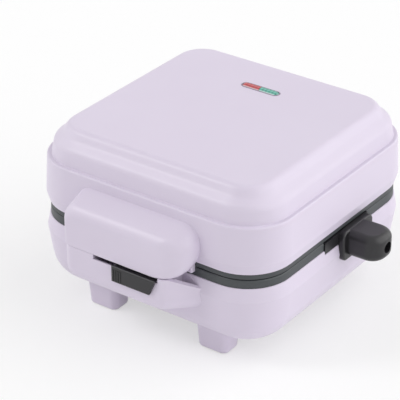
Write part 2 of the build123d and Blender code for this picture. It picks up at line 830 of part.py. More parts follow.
# Lid moulding: flared rim, drafted wall, ledge, rolled shoulder and raised plateau
with BuildPart() as lid_shell:
    with BuildSketch(Plane.XY.offset(lid_rim_z)):
        outline(0)
    extrude(amount=flare_height, taper=-flare_draft)
    add(tapered_block(-flare_reach, lid_rim_z + flare_height, ledge_z, lid_draft, ledge_radius))
    add(tapered_block(ledge_inset, ledge_z - 1, shoulder_z, shoulder_draft, shoulder_radius))
    add(tapered_block(plateau_foot, shoulder_z - 1, top_z, plateau_draft, plateau_radius))
    add(handle_root.part)
    add(handle_nose.part)
    with BuildSketch(Plane.XZ.offset(half_depth + handle_start)):
        with Locations((0, skirt_bottom_z + skirt_height / 2)):
            RectangleRounded(skirt_width, skirt_height, skirt_radius)
    extrude(amount=skirt_thickness)
    for side in (-1, 1):
        with BuildSketch(Plane.YZ.offset(side * lid_knuckle_x)):
            knuckle_profile((half_depth + 0.3, lid_root_low_z), (half_depth + 0.3, lid_root_high_z))
        extrude(amount=lid_knuckle_width / 2, both=True)

    # Inside of the lid in three steps
    with BuildSketch(Plane.XY.offset(lid_rim_z)):
        outline(casing_wall)
    extrude(amount=ledge_z - casing_wall - lid_rim_z, mode=Mode.SUBTRACT)
    add(
        tapered_block(
            ledge_inset + casing_wall + 0.4,
            ledge_z - casing_wall - 1,
            lid_ceiling_z,
            shoulder_draft,
            shoulder_radius - casing_wall,
        ),
        mode=Mode.SUBTRACT,
    )
    with BuildSketch(Plane.XY.offset(lid_ceiling_z - 1)):
        outline(plateau_foot + 2 * casing_wall)
    extrude(amount=window_seat_z - lid_ceiling_z + 1, mode=Mode.SUBTRACT)

    # Posts that carry the upper plate at its corners
    with BuildSketch(Plane.XY.offset(upper_flange_z)):
        with corners(plate_screw_x, plate_screw_y):
            Circle(post_radius)
    extrude(amount=window_seat_z + casing_wall / 2 - upper_flange_z)
    with BuildSketch(Plane.XY.offset(upper_flange_z)):
        with corners(plate_screw_x, plate_screw_y):
            Circle(screw_radius + screw_clearance)
    extrude(amount=screw_grip, mode=Mode.SUBTRACT)

    # Hollow under the handle, with the keeper hanging in it
    with BuildSketch(Plane.XY.offset(handle_bottom_z)):
        with Locations(
            (
                (handle_hollow_left_x + handle_hollow_right_x) / 2,
                (hollow_front_y + hollow_back_y) / 2,
            )
        ):
            RectangleRounded(
                handle_hollow_right_x - handle_hollow_left_x,
                hollow_back_y - hollow_front_y,
                handle_skin,
            )
    extrude(amount=handle_hollow_height, taper=2, mode=Mode.SUBTRACT)
    with BuildSketch(Plane.XY.offset(keeper_foot_z)):
        with Locations((keeper_x, keeper_y)):
            Rectangle(keeper_length, keeper_foot_width)
    extrude(amount=keeper_foot_height)
    with BuildSketch(Plane.XY.offset(keeper_foot_z)):
        with Locations((keeper_x, keeper_y)):
            Rectangle(keeper_length, keeper_thickness)
    extrude(amount=hollow_top_z + casing_wall / 2 - keeper_foot_z)

    # Hinge pin holes right through, and the slot for the indicator window
    for side in (-1, 1):
        with BuildSketch(Plane.YZ.offset(side * lid_knuckle_x)):
            with Locations((hinge_y, parting_z)):
                Circle(hinge_pin_radius + pin_clearance)
        extrude(amount=lid_knuckle_width, both=True, mode=Mode.SUBTRACT)
    with BuildSketch(Plane.XY.offset(top_z)):
        with Locations((0, window_y)):
            SlotOverall(window_length, window_width)
    extrude(amount=-2 * casing_wall, mode=Mode.SUBTRACT)

# Upper plate, element, shield and screws mirror the lower ones
with BuildPart() as upper_waffle_plate:
    mirror(lower_waffle_plate.part, about=parting_plane)
with BuildPart() as upper_heating_element:
    mirror(lower_heating_element.part, about=parting_plane)
with BuildPart() as upper_heat_shield:
    mirror(lower_heat_shield.part, about=parting_plane)
with BuildPart() as upper_plate_screws:
    mirror(lower_plate_screws.part, about=parting_plane)
with BuildPart() as upper_shield_screws:
    mirror(lower_shield_screws.part, about=parting_plane)

# Thermostat against the back of the upper plate
with BuildPart() as thermostat:
    with BuildSketch(Plane.XY.offset(thermostat_z)):
        Circle(thermostat_radius)
    extrude(amount=thermostat_height)
    chamfer(thermostat.edges().group_by(Axis.Z)[-1], 1.0)
    with BuildSketch(Plane.XY.offset(thermostat_z)):
        Rectangle(2 * thermostat_tab_reach, thermostat_tab_width)
    extrude(amount=shield_thickness)

# Window bezel: dark pill frame clipped under the lid's top
with BuildPart() as lens_bezel:
    with BuildSketch(Plane.XY.offset(bezel_under_z)):
        with Locations((0, window_y)):
            SlotOverall(window_length - seat_gap, window_width - seat_gap)
    extrude(amount=top_z + bezel_proud - bezel_under_z)
    chamfer(lens_bezel.edges().group_by(Axis.Z)[-1], bezel_proud / 2)
    with BuildSketch(Plane.XY.offset(bezel_under_z)):
        with Locations((0, window_y)):
            SlotOverall(window_length + 2 * bezel_flange, window_width + 2 * bezel_flange)
    extrude(amount=window_seat_z - seat_gap - bezel_under_z)
    with BuildSketch(Plane.XY.offset(bezel_under_z)):
        with Locations((0, window_y)):
            SlotOverall(window_length - 2 * bezel_wall, window_width - 2 * bezel_wall)
    extrude(amount=2 * lens_depth, mode=Mode.SUBTRACT)

# The two lenses share one faceted pill, cut at the middle
with BuildPart() as lens_pill:
    with BuildSketch(Plane.XY.offset(bezel_under_z)):
        with Locations((0, window_y)):
            SlotOverall(lens_length, lens_width)
    extrude(amount=top_z + lens_proud - bezel_under_z)
    chamfer(lens_pill.edges().group_by(Axis.Z)[-1], lens_proud, lens_facet)


def lens_half(side):
    """One half of the faceted pill, on the left for -1 and on the right for 1."""
    with BuildPart() as half:
        add(lens_pill.part)
        cut_box(
            (min(-side * window_length, side * seat_gap / 2), window_y - window_width, bezel_under_z - 1),
            (max(-side * window_length, side * seat_gap / 2), window_y + window_width, top_z + 10),
        )
    return half


red_lens = lens_half(-1)
green_lens = lens_half(1)

# Lamp holder under the window, with one neon lamp lying in each end
with BuildPart() as lamp_holder:
    with BuildSketch(Plane.XY.offset(holder_top_z)):
        with Locations((0, window_y)):
            RectangleRounded(holder_length, holder_width, 1.5)
    extrude(amount=-holder_height)
    with BuildSketch(Plane.XY.offset(holder_top_z)):
        with Locations((-lamp_x, window_y), (lamp_x, window_y)):
            Rectangle(lamp_length + 2 * seat_gap, 2 * lamp_radius + 2 * seat_gap)
    extrude(amount=holder_floor - holder_height, mode=Mode.SUBTRACT)

with BuildPart() as indicator_lamps:
    for side in (-1, 1):
        with Locations((side * lamp_x, window_y, lamp_z)):
            Cylinder(lamp_radius, lamp_length, rotation=(0, 90, 0))
    fillet(indicator_lamps.edges().filter_by(GeomType.CIRCLE), lamp_radius / 2)

# Every piece is written from the middle of the whole object's footprint
pieces = {
    "base_shell": base_shell,
    "foot_pads": foot_pads,
    "base_ring": base_ring,
    "lower_waffle_plate": lower_waffle_plate,
    "lower_heating_element": lower_heating_element,
    "lower_heat_shield": lower_heat_shield,
    "lower_plate_screws": lower_plate_screws,
    "lower_shield_screws": lower_shield_screws,
    "thermal_fuse": thermal_fuse,
    "terminal_block": terminal_block,
    "cord_outlet": cord_outlet,
    "hinge_pins": hinge_pins,
    "latch_slider": latch_slider,
    "latch_retainer": latch_retainer,
    "latch_screws": latch_screws,
    "lid_shell": lid_shell,
    "lid_ring": lid_ring,
    "upper_waffle_plate": upper_waffle_plate,
    "upper_heating_element": upper_heating_element,
    "upper_heat_shield": upper_heat_shield,
    "upper_plate_screws": upper_plate_screws,
    "upper_shield_screws": upper_shield_screws,
    "thermostat": thermostat,
    "lens_bezel": lens_bezel,
    "red_lens": red_lens,
    "green_lens": green_lens,
    "lamp_holder": lamp_holder,
    "indicator_lamps": indicator_lamps,
}
middle_x = (-half_width - flare_reach + outlet_end_x) / 2
middle_y = (thumb_front_y - thumb_rib_radius + hinge_y + knuckle_radius) / 2
os.makedirs("parts", exist_ok=True)
for name, piece in pieces.items():
    placed = piece.part.moved(Location((-middle_x, -middle_y, 0)))
    placed.label = name
    export_step(placed, f"parts/{name}.step")
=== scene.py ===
"""Stuffed waffle maker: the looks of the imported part, in the part's own metres and axes."""

import math

import bmesh
import bpy
import mathutils
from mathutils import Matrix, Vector


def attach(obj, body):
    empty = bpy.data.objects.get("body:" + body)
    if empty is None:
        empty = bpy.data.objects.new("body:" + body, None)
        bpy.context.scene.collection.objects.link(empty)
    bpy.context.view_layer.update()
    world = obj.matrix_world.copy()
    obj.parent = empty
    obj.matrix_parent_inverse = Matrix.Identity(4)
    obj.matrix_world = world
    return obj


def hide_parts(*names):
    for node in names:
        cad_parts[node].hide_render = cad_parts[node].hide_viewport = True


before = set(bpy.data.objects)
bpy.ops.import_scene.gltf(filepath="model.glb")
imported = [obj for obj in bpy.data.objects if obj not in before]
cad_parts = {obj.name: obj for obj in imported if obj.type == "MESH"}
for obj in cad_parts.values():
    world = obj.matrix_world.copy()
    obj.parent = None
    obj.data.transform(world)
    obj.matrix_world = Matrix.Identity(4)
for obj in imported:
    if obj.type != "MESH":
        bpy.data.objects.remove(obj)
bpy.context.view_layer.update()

# Lid: one injection-moulded ABS shell with a flared rim, a ledge, a rolled shoulder and a raised
# top. Its handle, keeper, skirt and hinge eyes are moulded in one with it. It is drawn in
# millimetres from the casing's middle, and MIDDLE is where the frame has its origin.
MM = 0.001
MIDDLE = Vector((14.2, -5.2, 0.0))
edge_steps, slab_steps, handle_steps, casing_steps = 7, 6, 8, 12
corner_radius = 35.0
corner_middles = ((65.0, 64.0), (-65.0, 64.0), (-65.0, -64.0), (65.0, -64.0))
hinge_y, hinge_z = 107.0, 74.6
eye_radius, eye_steps = 6.5, 36
eye_root_radius, eye_root_angles = 1.2, (2.2, 3.14, 4.0)
handle_front_y, handle_depth, handle_under_z = -121.0, 22.0, 70.9


def soften(section):
    """Points of a section given as corners of inset, height and edge radius."""
    points = [Vector(section[0][:2])]
    for before, corner, after in zip(section, section[1:], section[2:]):
        here = Vector(corner[:2])
        back = (Vector(before[:2]) - here).normalized()
        ahead = (Vector(after[:2]) - here).normalized()
        half = back.angle(ahead) / 2
        centre = here + (back + ahead).normalized() * corner[2] / math.sin(half)
        first = here + back * corner[2] / math.tan(half) - centre
        last = here + ahead * corner[2] / math.tan(half) - centre
        turn = math.atan2(last.y, last.x) - math.atan2(first.y, first.x)
        turn = (turn + math.pi) % (2 * math.pi) - math.pi
        for step in range(edge_steps + 1):
            angle = math.atan2(first.y, first.x) + turn * step / edge_steps
            points.append(centre + Vector((math.cos(angle), math.sin(angle))) * corner[2])
    points.append(Vector(section[-1][:2]))
    return points


def corner_arc(middle_x, middle_y, radius, quarter, steps):
    """Points of one quarter of a circle; quarter 0 lies towards the right and the back."""
    points = []
    for step in range(steps + 1):
        angle = math.radians(90 * quarter + 90 / steps * step)
        points.append((middle_x + radius * math.cos(angle), middle_y + radius * math.sin(angle)))
    return points


def casing_loop(inset, height):
    """Rounded-square outline of the casing at a height, drawn inside the rim line."""
    loop = []
    for quarter, (middle_x, middle_y) in enumerate(corner_middles):
        arc = corner_arc(middle_x, middle_y, corner_radius - inset, quarter, casing_steps)
        loop += [(x, y, height) for x, y in arc]
    return loop


def stack(shape, loops):
    """Closed skin through a row of loops that all have the same number of points."""
    rows = [[shape.verts.new((Vector(point) - MIDDLE) * MM) for point in loop] for loop in loops]
    count = len(rows[0])
    for low, high in zip(rows, rows[1:]):
        for i in range(count):
            shape.faces.new((low[i], low[(i + 1) % count], high[(i + 1) % count], high[i]))
    shape.faces.new(list(reversed(rows[0])))
    shape.faces.new(rows[-1])


def solid(name, stacks):
    """Object made of closed skins, with its normals facing out."""
    shape = bmesh.new()
    for loops in stacks:
        stack(shape, loops)
    bmesh.ops.recalc_face_normals(shape, faces=shape.faces)
    mesh = bpy.data.meshes.new(name)
    shape.to_mesh(mesh)
    shape.free()
    piece = bpy.data.objects.new(name, mesh)
    bpy.context.scene.collection.objects.link(piece)
    return piece


def carve(piece, tool, operation):
    """Joins a tool solid to a piece or takes it away, and drops the tool."""
    change = piece.modifiers.new(operation.lower(), "BOOLEAN")
    change.object = tool
    change.operation = operation
    change.solver = "EXACT"
    evaluated = piece.evaluated_get(bpy.context.evaluated_depsgraph_get())
    made = bpy.data.meshes.new_from_object(evaluated)
    piece.modifiers.clear()
    piece.data = made
    bpy.data.objects.remove(tool)


def round_slab(low, high, radius):
    """Upright slab between two corners with rounded upright edges, as two loops."""
    left, front = low[0] + radius, low[1] + radius
    right, back = high[0] - radius, high[1] - radius
    outline = []
    for quarter, (x, y) in enumerate(((right, back), (left, back), (left, front), (right, front))):
        outline += corner_arc(x, y, radius, quarter, slab_steps)
    return [[(x, y, height) for x, y in outline] for height in (low[2], high[2])]


def eye(side, start_x, end_x, roots):
    """Hinge eye round the pin, joined to two points of the back wall, as two loops."""
    rim = []
    for root in roots:
        for angle in eye_root_angles:
            spoke = Vector((math.cos(angle), math.sin(angle)))
            rim.append(Vector(root) + spoke * eye_root_radius)
    for step in range(eye_steps):
        angle = math.radians(360 / eye_steps * step)
        spoke = Vector((math.cos(angle), math.sin(angle)))
        rim.append(Vector((hinge_y, hinge_z)) + spoke * eye_radius)
    hull = mathutils.geometry.convex_hull_2d(rim)
    return [[(side * x, rim[i].x, rim[i].y) for i in hull] for x in (start_x, end_x)]


def rolled(distance, radius):
    """How far a rolled edge draws in at a distance behind the front face."""
    if distance >= radius:
        return 0.0
    return radius - math.sqrt(radius**2 - (radius - distance) ** 2)


def handle_loop(distance):
    """Front view of the handle at a distance behind its flat front, each corner with its radius."""
    share = 1 - distance / handle_depth
    left = -53.5 + 2 * share + rolled(distance, 4.0)
    right = 51.5 - 1 * share - rolled(distance, 18.0)
    top = 108.5 - 8.5 * share - rolled(distance, 6.0)
    corners = (
        (right, top, 14 - 5 * share),
        (left, top, 12 - 4 * share),
        (left, handle_under_z, 1.5),
        (right, handle_under_z, 22 - 14 * share),
    )
    loop = []
    for quarter, (corner_x, corner_z, radius) in enumerate(corners):
        middle_x = corner_x - radius if quarter in (0, 3) else corner_x + radius
        middle_z = corner_z - radius if quarter in (0, 1) else corner_z + radius
        arc = corner_arc(middle_x, middle_z, radius, quarter, handle_steps)
        loop += [(x, handle_front_y + distance, z) for x, z in arc]
    return loop


# The lid's skin, from the middle of its ceiling down the inside, round the rim and back over the
# ledge and the shoulder to the middle of the top.
lid_skin = soften(
    [
        (20.5, 135.9, 0),
        (16.2, 135.9, 1.5),
        (12.9, 128.0, 3.0),
        (8.4, 126.6, 4.0),
        (5.9, 112.8, 1.0),
        (2.8, 112.0, 1.0),
        (2.8, 79.3, 0.3),
        (0.0, 79.3, 0.5),
        (-2.1, 86.7, 1.2),
        (-0.6, 115.5, 1.4),
        (2.7, 115.5, 0.6),
        (4.8, 127.0, 8.0),
        (11.3, 132.2, 10.0),
        (15.6, 138.7, 6.0),
        (22.0, 138.7, 0),
    ]
)
lid_moulding = solid(
    "lid_moulding", [[casing_loop(inset, height) for inset, height in lid_skin]]
)
window_cut = solid("window_cut", [round_slab((-16.5, 42.0, 130.0), (16.5, 50.0, 141.0), 3.99)])
carve(lid_moulding, window_cut, "DIFFERENCE")

# The handle's loops lie close together where its front edges roll, and the last two are inside
# the lid's wall.
handle_roll_reach = 20
handle_distances = [
    handle_roll_reach * (1 - math.cos(math.radians(6 * step))) for step in range(16)
]
handle_distances += [21.2, 24.0]
handle = solid("handle", [[handle_loop(distance) for distance in handle_distances]])
handle_hollow = solid("hollow", [round_slab((-43.0, -118.0, 60.0), (34.0, -102.4, 91.9), 3.0)])
carve(handle, handle_hollow, "DIFFERENCE")
keeper_foot = round_slab((-11.5, -114.2, 64.5), (-2.5, -107.8, 66.7), 0.4)
keeper_stem = round_slab((-11.5, -112.0, 66.0), (-2.5, -110.0, 93.5), 0.4)
keeper = solid("keeper", [keeper_foot, keeper_stem])
skirt = solid("skirt", [round_slab((-45.5, -102.0, 71.5), (45.5, -97.5, 87.5), 1.0)])
lid_roots = ((99.3, 84.0), (99.3, 96.0))
lid_eyes = solid("lid_eyes", [eye(side, 20.4, 35.1, lid_roots) for side in (-1, 1)])
for part in (handle, keeper, skirt, lid_eyes):
    carve(lid_moulding, part, "UNION")


def linear(hex_colour):
    """Turns an sRGB hex colour into the linear RGBA that a shader takes."""
    channels = [int(hex_colour[i : i + 2], 16) / 255 for i in (1, 3, 5)]
    return [c / 12.92 if c <= 0.04045 else ((c + 0.055) / 1.055) ** 2.4 for c in channels] + [1.0]


def add(tree, kind, inputs=None, **settings):
    """Adds one shader node; an input given a socket is linked, and any other is set."""
    node = tree.nodes.new(kind)
    for name, value in settings.items():
        setattr(node, name, value)
    for name, value in (inputs or {}).items():
        if isinstance(value, bpy.types.NodeSocket):
            tree.links.new(value, node.inputs[name])
        else:
            node.inputs[name].default_value = value
    return node


def new_material(name):
    """Makes a named material and gives it, its node tree and its surface shader."""
    material = bpy.data.materials.new(name)
    material.use_nodes = True
    return material, material.node_tree, material.node_tree.nodes["Principled BSDF"]


def give_finish(node_name, material):
    """Gives a piece of the frame its material."""
    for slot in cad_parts[node_name].material_slots:
        slot.material = material


weld_distance = 0.002 * MM
roundest_turn = math.radians(32)


def dress(piece, body, node, material):
    """Smooths a moulding's round faces, keeps its sharp edges, and lets it stand for its node."""
    shape = bmesh.new()
    shape.from_mesh(piece.data)
    bmesh.ops.remove_doubles(shape, verts=shape.verts, dist=weld_distance)
    bmesh.ops.dissolve_degenerate(shape, edges=shape.edges, dist=weld_distance)
    for face in shape.faces:
        face.smooth = True
    for edge in shape.edges:
        edge.smooth = len(edge.link_faces) == 2 and edge.calc_face_angle(0) < roundest_turn
    shape.to_mesh(piece.data)
    shape.free()
    piece.modifiers.new("face_weights", "WEIGHTED_NORMAL").keep_sharp = True
    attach(piece, body)
    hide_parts(node)
    piece.data.materials.clear()
    piece.data.materials.append(material)
    give_finish(node, material)


# Satin ABS in a pale lilac. The mould was lightly sparked, which leaves a grain and very soft
# reflections. The shade drifts over some 55 mm, as the plastic flowed, and the grain is drawn at
# 0.9 mm, coarser than the spark erosion leaves it, so that it shows.
satin_abs, tree, shader = new_material("satin_lilac_abs")
place = add(tree, "ShaderNodeTexCoord")
cloud = add(
    tree,
    "ShaderNodeTexNoise",
    {"Vector": place.outputs["Object"], "Scale": 1 / (55 * MM), "Detail": 2.0},
)
tint = add(tree, "ShaderNodeMix", {"Factor": cloud.outputs["Fac"]}, data_type="RGBA")
tint.inputs["A"].default_value = linear("#D6CCDE")
tint.inputs["B"].default_value = linear("#DAD1E2")
grain = add(
    tree,
    "ShaderNodeTexNoise",
    {"Vector": place.outputs["Object"], "Scale": 1 / (0.9 * MM), "Detail": 3.0},
)
gloss = add(
    tree, "ShaderNodeMapRange", {"Value": grain.outputs["Fac"], "To Min": 0.34, "To Max": 0.44}
)
relief = add(
    tree,
    "ShaderNodeBump",
    {"Height": grain.outputs["Fac"], "Strength": 0.25, "Distance": 0.05 * MM},
)
tree.links.new(tint.outputs["Result"], shader.inputs["Base Color"])
tree.links.new(gloss.outputs["Result"], shader.inputs["Roughness"])
tree.links.new(relief.outputs["Normal"], shader.inputs["Normal"])
shader.inputs["IOR"].default_value = 1.53
dress(lid_moulding, "lid", "lid_shell", satin_abs)

# Base: one injection-moulded bowl in the lid's satin ABS, which flares to a crease below its rim
# and rolls softly under. The latch box, the four feet and the hinge eyes are moulded in one with
# it, and the box is cut out for the latch that slides in it.
box_left_x, box_front_right_x, box_wall_right_x = -52.5, 34.0, 58.0
box_wall_y, box_bottom_z, box_roll = -93.0, 41.3, 12.0
foot_half_x, foot_half_y, foot_corner_radius = 12.4, 9.2, 5.0
foot_section = ((0.5, 1.6), (0.7, 1.0), (1.2, 0.4), (2.0, 0.1), (3.0, 0.0), (20.0, -1.5))


def box_loop(height):
    """Outline of the latch box at a height, drawn in where its lower front edge is rolled."""
    inset = rolled(height - box_bottom_z, box_roll)
    outline = [
        (box_wall_right_x - inset, box_wall_y, 0),
        (box_left_x + inset, box_wall_y, 0.2),
        (box_left_x + inset, handle_front_y + inset, 8.0),
        (box_front_right_x - inset, handle_front_y + inset, 9.0),
        (box_wall_right_x - inset, box_wall_y - 0.2, 0),
    ]
    return [(point.x, point.y, height) for point in soften(outline)]


def foot_loops(middle_x, middle_y):
    """One moulded foot, drafted, with a soft edge round its sole."""
    loops = []
    for height, inset in foot_section:
        slab = round_slab(
            (middle_x - foot_half_x + inset, middle_y - foot_half_y + inset, height),
            (middle_x + foot_half_x - inset, middle_y + foot_half_y - inset, height + 1),
            foot_corner_radius - inset,
        )
        loops.append(slab[0])
    return loops


# The bowl's skin, from the middle of its underside up the outside to the rim and down the inside
# to the middle of its floor.
base_skin = soften(
    [
        (26.0, 17.6, 0),
        (4.05, 17.6, 22.0),
        (-2.0, 57.7, 1.0),
        (0.0, 68.1, 0.5),
        (2.8, 68.1, 0.3),
        (0.5, 57.7, 1.0),
        (6.85, 20.4, 19.2),
        (26.0, 20.4, 0),
    ]
)
base_moulding = solid(
    "base_moulding", [[casing_loop(inset, height) for inset, height in base_skin]]
)
outlet_notch = solid("notch", [round_slab((93.5, -20.3, 65.3), (104.0, 36.3, 72.0), 0.5)])
carve(base_moulding, outlet_notch, "DIFFERENCE")

# The latch box, without what would stand in the rim's ring or inside the bowl.
box_heights = [
    box_bottom_z + box_roll * (1 - math.cos(math.radians(10 * step))) for step in range(10)
]
latch_box = solid("latch_box", [[box_loop(height) for height in box_heights + [70.7]]])
rim_room = solid("rim_room", [round_slab((-60.0, -99.2, 68.1), (66.0, -90.0, 75.0), 0.2)])
carve(latch_box, rim_room, "DIFFERENCE")
bowl_inside = ((2.0, 70.0), (0.2, 57.7), (6.0, 20.0))
inside = solid("inside", [[casing_loop(inset, height) for inset, height in bowl_inside]])
carve(latch_box, inside, "DIFFERENCE")

# Cuts in the box: the slider's track, the retainer's seat, the slot in the front, the hole that
# the keeper drops through, and the dark pocket behind the slot's left end.
for low, high in (
    ((-33.2, -118.2, 67.2), (28.8, -104.8, 72.0)),
    ((-41.0, -116.9, 69.6), (35.3, -102.7, 72.0)),
    ((-25.0, -122.0, 67.2), (30.5, -117.0, 72.0)),
    ((-12.4, -115.1, 63.6), (-1.6, -106.9, 68.0)),
    ((-25.0, -119.8, 56.0), (-8.2, -105.0, 68.0)),
):
    carve(latch_box, solid("cut", [round_slab(low, high, 0.3)]), "DIFFERENCE")

# The top of the box falls away under the handle's right end, seen from the front, and has a
# three-cornered pocket there, seen from above.
slope = ((37.0, 75.0), (37.0, 70.2), (51.0, 61.0), (72.0, 61.0), (72.0, 75.0))
pocket = ((36.2, -114.6), (49.3, -99.8), (36.2, -99.8))
for loops in (
    [[(x, y, z) for x, z in slope] for y in (-125.0, -96.0)],
    [[(x, y, z) for x, y in pocket] for z in (54.0, 75.0)],
):
    carve(latch_box, solid("cut", [loops]), "DIFFERENCE")
feet = solid("feet", [foot_loops(x, y) for x in (-48.6, 48.6) for y in (-74.8, 74.8)])
base_roots = ((98.2, 48.0), (98.6, 60.0))
base_eyes = solid("base_eyes", [eye(side, 35.5, 48.5, base_roots) for side in (-1, 1)])
for part in (latch_box, feet, base_eyes):
    carve(base_moulding, part, "UNION")
dress(base_moulding, "base", "base_shell", satin_abs)

# Rings between the halves: glass-filled nylon in charcoal, heat-proof next to the plates, one
# pressed on each rim. It is moulded matt, and its fibres leave a faint mottle 2.5 mm across.
filled_nylon, tree, shader = new_material("charcoal_glass_filled_nylon")
place = add(tree, "ShaderNodeTexCoord")
fibres = add(
    tree,
    "ShaderNodeTexNoise",
    {"Vector": place.outputs["Object"], "Scale": 1 / (2.5 * MM), "Detail": 5.0},
)
tint = add(tree, "ShaderNodeMix", {"Factor": fibres.outputs["Fac"]}, data_type="RGBA")
tint.inputs["A"].default_value = linear("#383C3F")
tint.inputs["B"].default_value = linear("#44484B")
gloss = add(
    tree, "ShaderNodeMapRange", {"Value": fibres.outputs["Fac"], "To Min": 0.38, "To Max": 0.52}
)
relief = add(
    tree,
    "ShaderNodeBump",
    {"Height": fibres.outputs["Fac"], "Strength": 0.3, "Distance": 0.04 * MM},
)
tree.links.new(tint.outputs["Result"], shader.inputs["Base Color"])
tree.links.new(gloss.outputs["Result"], shader.inputs["Roughness"])
tree.links.new(relief.outputs["Normal"], shader.inputs["Normal"])
shader.inputs["IOR"].default_value = 1.53
give_finish("base_ring", filled_nylon)
give_finish("lid_ring", filled_nylon)

# Waffle plates: die-cast aluminium, blasted and sprayed with a dark ceramic non-stick coat. The
# coat gives a deep satin black-brown, with pale specks 1.3 mm apart and an orange peel of 1.6 mm.
ceramic_coat, tree, shader = new_material("speckled_ceramic_coating")
place = add(tree, "ShaderNodeTexCoord")
specks = add(
    tree, "ShaderNodeTexVoronoi", {"Vector": place.outputs["Object"], "Scale": 1 / (1.3 * MM)}
)
dots = add(
    tree,
    "ShaderNodeMapRange",
    {
        "Value": specks.outputs["Distance"],
        "From Min": 0.08,
        "From Max": 0.14,
        "To Min": 1.0,
        "To Max": 0.0,
    },
)
tint = add(tree, "ShaderNodeMix", {"Factor": dots.outputs["Result"]}, data_type="RGBA")
tint.inputs["A"].default_value = linear("#2A2828")
tint.inputs["B"].default_value = linear("#77726C")
orange_peel = add(
    tree,
    "ShaderNodeTexNoise",
    {"Vector": place.outputs["Object"], "Scale": 1 / (1.6 * MM), "Detail": 2.0},
)
relief = add(
    tree,
    "ShaderNodeBump",
    {"Height": orange_peel.outputs["Fac"], "Strength": 0.4, "Distance": 0.08 * MM},
)
tree.links.new(tint.outputs["Result"], shader.inputs["Base Color"])
tree.links.new(relief.outputs["Normal"], shader.inputs["Normal"])
shader.inputs["Roughness"].default_value = 0.34
shader.inputs["Coat Weight"].default_value = 0.25
shader.inputs["Coat Roughness"].default_value = 0.2
give_finish("lower_waffle_plate", ceramic_coat)
give_finish("upper_waffle_plate", ceramic_coat)

# Heating elements: drawn stainless tube packed with magnesia and bent to a loop under each plate.
# Heat has left brown and blue oxide bands on the dull metal, about 14 mm apart.
oxidised_steel, tree, shader = new_material("heat_tinted_stainless_tube")
place = add(tree, "ShaderNodeTexCoord")
bands = add(
    tree,
    "ShaderNodeTexNoise",
    {"Vector": place.outputs["Object"], "Scale": 1 / (14 * MM), "Detail": 4.0},
)
tint = add(tree, "ShaderNodeValToRGB", {"Fac": bands.outputs["Fac"]})
tint.color_ramp.elements[0].color = linear("#6E665E")
tint.color_ramp.elements[1].color = linear("#8C8478")
tint.color_ramp.elements.new(0.5).color = linear("#6C6A72")
tree.links.new(tint.outputs["Color"], shader.inputs["Base Color"])
shader.inputs["Metallic"].default_value = 1.0
shader.inputs["Roughness"].default_value = 0.42
give_finish("lower_heating_element", oxidised_steel)
give_finish("upper_heating_element", oxidised_steel)

# Heat shields: trays pressed from bright aluminised sheet and screwed behind the elements. The
# rolling lines run along the coil's length, some 50 mm long and under 1 mm apart.
rolled_sheet, tree, shader = new_material("rolled_aluminised_sheet")
place = add(tree, "ShaderNodeTexCoord")
lines_per_metre = (20.0, 1200.0, 300.0)
stretch = add(
    tree, "ShaderNodeMapping", {"Vector": place.outputs["Object"], "Scale": lines_per_metre}
)
rolling = add(
    tree,
    "ShaderNodeTexNoise",
    {"Vector": stretch.outputs["Vector"], "Scale": 1.0, "Detail": 3.0},
)
tint = add(tree, "ShaderNodeMix", {"Factor": rolling.outputs["Fac"]}, data_type="RGBA")
tint.inputs["A"].default_value = linear("#BFC0C2")
tint.inputs["B"].default_value = linear("#D2D3D4")
gloss = add(
    tree, "ShaderNodeMapRange", {"Value": rolling.outputs["Fac"], "To Min": 0.24, "To Max": 0.38}
)
tree.links.new(tint.outputs["Result"], shader.inputs["Base Color"])
tree.links.new(gloss.outputs["Result"], shader.inputs["Roughness"])
shader.inputs["Metallic"].default_value = 1.0
give_finish("lower_heat_shield", rolled_sheet)
give_finish("upper_heat_shield", rolled_sheet)

# Screws, pins and the latch's retainer: steel, cold headed, turned or stamped and then zinc
# plated. The plating is a cool grey, cloudy over about 1.8 mm.
zinc_plate, tree, shader = new_material("zinc_plated_steel")
place = add(tree, "ShaderNodeTexCoord")
plating = add(
    tree,
    "ShaderNodeTexNoise",
    {"Vector": place.outputs["Object"], "Scale": 1 / (1.8 * MM), "Detail": 3.0},
)
tint = add(tree, "ShaderNodeMix", {"Factor": plating.outputs["Fac"]}, data_type="RGBA")
tint.inputs["A"].default_value = linear("#A9ABAE")
tint.inputs["B"].default_value = linear("#C3C5C8")
gloss = add(
    tree, "ShaderNodeMapRange", {"Value": plating.outputs["Fac"], "To Min": 0.22, "To Max": 0.40}
)
tree.links.new(tint.outputs["Result"], shader.inputs["Base Color"])
tree.links.new(gloss.outputs["Result"], shader.inputs["Roughness"])
shader.inputs["Metallic"].default_value = 1.0
for name in (
    "lower_plate_screws",
    "upper_plate_screws",
    "lower_shield_screws",
    "upper_shield_screws",
    "hinge_pins",
    "latch_retainer",
    "latch_screws",
):
    give_finish(name, zinc_plate)

# Thermal fuse: a small capsule in a braided glass-fibre sleeve. The sleeve is cream and dull, with
# threads that run slantwise, drawn 2.6 mm wide so that they show.
glass_braid, tree, shader = new_material("braided_glass_fibre")
place = add(tree, "ShaderNodeTexCoord")
threads = add(
    tree,
    "ShaderNodeTexWave",
    {"Vector": place.outputs["Object"], "Scale": 1 / (2.6 * MM)},
    bands_direction="DIAGONAL",
)
tint = add(tree, "ShaderNodeMix", {"Factor": threads.outputs["Fac"]}, data_type="RGBA")
tint.inputs["A"].default_value = linear("#C9C0A8")
tint.inputs["B"].default_value = linear("#E6DFCB")
relief = add(
    tree,
    "ShaderNodeBump",
    {"Height": threads.outputs["Fac"], "Strength": 0.6, "Distance": 0.15 * MM},
)
tree.links.new(tint.outputs["Result"], shader.inputs["Base Color"])
tree.links.new(relief.outputs["Normal"], shader.inputs["Normal"])
shader.inputs["Roughness"].default_value = 0.75
give_finish("thermal_fuse", glass_braid)

